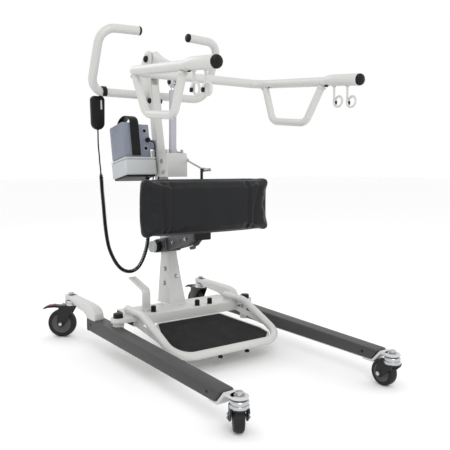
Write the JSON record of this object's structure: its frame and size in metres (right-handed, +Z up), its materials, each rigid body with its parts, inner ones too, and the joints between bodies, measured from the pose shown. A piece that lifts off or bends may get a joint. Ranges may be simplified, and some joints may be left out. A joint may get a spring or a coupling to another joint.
{
  "type": "sit to stand lift",
  "caption": "Wheeled sit to stand lift: spreading legs, leaning mast, powered boom with padded arms and side grips, knee pad, foot plate, push handle and hand pendant.",
  "frame": {"origin": "on the floor under the middle of the lift's box", "axes": "+Z up; -Y towards the user who stands on the foot plate; +X to the right of a carer who looks at the user's face from the front, so the pendant is on -X"},
  "size_m": [0.6673, 1.121, 1.0755],
  "materials": {
    "white_powder_coat": "satin",
    "dark_leg_cover": "moulded, satin",
    "black_plastic": "moulded, matte",
    "zinc": "zinc plated",
    "black_fork": "black paint over pressed steel",
    "grey_tube": "satin",
    "cast_grey": "dark painted casting",
    "rubber_mat": "fine pebble",
    "tyre": "matte",
    "pad_vinyl": "coated fabric, satin",
    "battery_grey": "moulded, fine grain",
    "box_grey": "moulded, fine grain",
    "button_grey": "soft membrane",
    "red_pedal": "moulded",
    "cord_black": "matte"
  },
  "bodies": {
    "base": {"cross_beam": "white_powder_coat", "beam_bolt_caps": "black_plastic", "mast_foot": "white_powder_coat", "mast_tube": "white_powder_coat", "mast_head": "white_powder_coat", "mast_bolts": "zinc", "push_handle": "white_powder_coat", "handle_end_caps": "black_plastic", "foot_frame": "white_powder_coat", "foot_plate": "white_powder_coat", "foot_mat": "rubber_mat", "foot_plate_bolts": "black_plastic", "actuator_bracket": "white_powder_coat", "bracket_bolts": "zinc", "control_box": "box_grey", "box_back_plate": "box_grey", "box_plugs": "black_plastic", "box_cable": "cord_black", "pendant_shell": "black_plastic", "pendant_cord": "cord_black", "pendant_coil": "cord_black", "leg_pivot_bolts": "black_plastic", "boom_pivot_bolt": "black_plastic"},
    "left_leg": {"left_leg_frame": "white_powder_coat", "left_leg_cover": "dark_leg_cover"},
    "right_leg": {"right_leg_frame": "white_powder_coat", "right_leg_cover": "dark_leg_cover"},
    "lever": {"spreader_lever": "white_powder_coat"},
    "front_left_caster": {"front_left_fork": "black_fork"},
    "front_left_roller": {"front_left_wheel": "tyre"},
    "front_right_caster": {"front_right_fork": "black_fork"},
    "front_right_roller": {"front_right_wheel": "tyre"},
    "rear_left_caster": {"rear_left_fork": "black_fork"},
    "rear_left_roller": {"rear_left_wheel": "tyre"},
    "rear_right_caster": {"rear_right_fork": "black_fork"},
    "rear_right_roller": {"rear_right_wheel": "tyre"},
    "left_brake": {"left_brake_pedal": "red_pedal"},
    "right_brake": {"right_brake_pedal": "red_pedal"},
    "lift_boom": {"boom": "white_powder_coat", "rod_pivot_pin": "black_plastic", "arm_frame": "white_powder_coat", "arm_sleeves": "white_powder_coat", "arm_end_caps": "black_plastic", "left_grip": "white_powder_coat", "right_grip": "white_powder_coat", "sling_hooks": "zinc"},
    "actuator_inner": {"actuator_rod": "zinc"},
    "actuator_outer": {"actuator_tube": "grey_tube", "actuator_motor": "cast_grey"},
    "knee_support": {"knee_carriage": "cast_grey", "knee_backboard": "cast_grey", "knee_pad": "pad_vinyl"},
    "height_knob": {"carriage_knob": "black_plastic"},
    "pad_stay": {"pad_stay_rod": "zinc"},
    "wing_screw": {"pad_wing_screw": "zinc"},
    "battery_pack": {"battery": "battery_grey", "battery_strap": "black_plastic"},
    "up_button": {"pendant_up_button": "button_grey"},
    "down_button": {"pendant_down_button": "button_grey"}
  },
  "joints": [
    {"name": "boom_lift", "type": "hinge", "parent": "base", "child": "lift_boom", "pos_m": [0.0316, 0.348, 0.989], "axis": [-1, 0, 0], "range_deg": [-4, 45]},
    {"name": "actuator_tilt", "type": "hinge", "parent": "lift_boom", "child": "actuator_inner", "pos_m": [0.0316, 0.2, 0.893], "axis": [-1, 0, 0], "range_deg": [-50, 5]},
    {"name": "actuator_extend", "type": "slide", "parent": "actuator_inner", "child": "actuator_outer", "axis": [0, 0.0198, -0.9998], "range_m": [-0.013, 0.134]},
    {"name": "left_leg_spread", "type": "hinge", "parent": "base", "child": "left_leg", "pos_m": [-0.2184, 0.124, 0.12], "axis": [0, 0, -1], "range_deg": [0, 9]},
    {"name": "right_leg_spread", "type": "hinge", "parent": "base", "child": "right_leg", "pos_m": [0.2816, 0.124, 0.12], "axis": [0, 0, 1], "range_deg": [0, 9]},
    {"name": "lever_turn", "type": "hinge", "parent": "base", "child": "lever", "pos_m": [-0.0994, 0.161, 0.135], "axis": [0, 0, 1], "range_deg": [0, 36]},
    {"name": "front_left_swivel", "type": "hinge", "parent": "left_leg", "child": "front_left_caster", "pos_m": [-0.2304, -0.534, 0.091], "axis": [0, 0, 1], "continuous": true},
    {"name": "front_left_roll", "type": "hinge", "parent": "front_left_caster", "child": "front_left_roller", "pos_m": [-0.21609, -0.5111, 0.0375], "axis": [0.848, -0.5299, 0], "continuous": true},
    {"name": "front_right_swivel", "type": "hinge", "parent": "right_leg", "child": "front_right_caster", "pos_m": [0.2936, -0.534, 0.091], "axis": [0, 0, 1], "continuous": true},
    {"name": "front_right_roll", "type": "hinge", "parent": "front_right_caster", "child": "front_right_roller", "pos_m": [0.2936, -0.507, 0.0375], "axis": [1, 0, 0], "continuous": true},
    {"name": "rear_left_swivel", "type": "hinge", "parent": "left_leg", "child": "rear_left_caster", "pos_m": [-0.2444, 0.461, 0.138], "axis": [0, 0, 1], "continuous": true},
    {"name": "rear_left_roll", "type": "hinge", "parent": "rear_left_caster", "child": "rear_left_roller", "pos_m": [-0.27119, 0.48193, 0.05], "axis": [0.6157, 0.788, 0], "continuous": true},
    {"name": "rear_right_swivel", "type": "hinge", "parent": "right_leg", "child": "rear_right_caster", "pos_m": [0.3076, 0.461, 0.138], "axis": [0, 0, 1], "continuous": true},
    {"name": "rear_right_roll", "type": "hinge", "parent": "rear_right_caster", "child": "rear_right_roller", "pos_m": [0.3076, 0.495, 0.05], "axis": [1, 0, 0], "continuous": true},
    {"name": "left_brake_press", "type": "hinge", "parent": "rear_left_caster", "child": "left_brake", "pos_m": [-0.27671, 0.48624, 0.1095], "axis": [-0.6157, -0.788, 0], "range_deg": [0, 8]},
    {"name": "right_brake_press", "type": "hinge", "parent": "rear_right_caster", "child": "right_brake", "pos_m": [0.3076, 0.502, 0.1095], "axis": [-1, 0, 0], "range_deg": [0, 8]},
    {"name": "knee_pad_height", "type": "slide", "parent": "base", "child": "knee_support", "axis": [0, 0.1736, 0.9848], "range_m": [0, 0.06]},
    {"name": "height_knob_turn", "type": "hinge", "parent": "knee_support", "child": "height_knob", "pos_m": [-0.0164, 0.252, 0.332], "axis": [1, 0, 0], "range_deg": [-180, 180]},
    {"name": "stay_swing", "type": "hinge", "parent": "base", "child": "pad_stay", "pos_m": [0.0776, 0.19, 0.632], "axis": [-1, 0, 0], "range_deg": [0, 21]},
    {"name": "wing_screw_turn", "type": "hinge", "parent": "pad_stay", "child": "wing_screw", "pos_m": [0.0516, 0.023, 0.599], "axis": [1, 0, 0], "range_deg": [-180, 180]},
    {"name": "battery_lift_off", "type": "slide", "parent": "base", "child": "battery_pack", "axis": [0, 0.1736, 0.9848], "range_m": [0, 0.06]},
    {"name": "up_button_press", "type": "slide", "parent": "base", "child": "up_button", "axis": [0, -1, 0], "range_m": [0, 0.002], "stiffness_N_per_m": 500},
    {"name": "down_button_press", "type": "slide", "parent": "base", "child": "down_button", "axis": [0, -1, 0], "range_m": [0, 0.002], "stiffness_N_per_m": 500}
  ],
  "couplings": [
    {"joint": "actuator_tilt", "follows": "boom_lift", "ratio": -1.095},
    {"joint": "actuator_extend", "follows": "boom_lift", "m_per_rad": 0.1679},
    {"joint": "right_leg_spread", "follows": "left_leg_spread", "ratio": 1},
    {"joint": "lever_turn", "follows": "left_leg_spread", "ratio": 4},
    {"joint": "stay_swing", "follows": "knee_pad_height", "rad_per_m": 5.9}
  ]
}
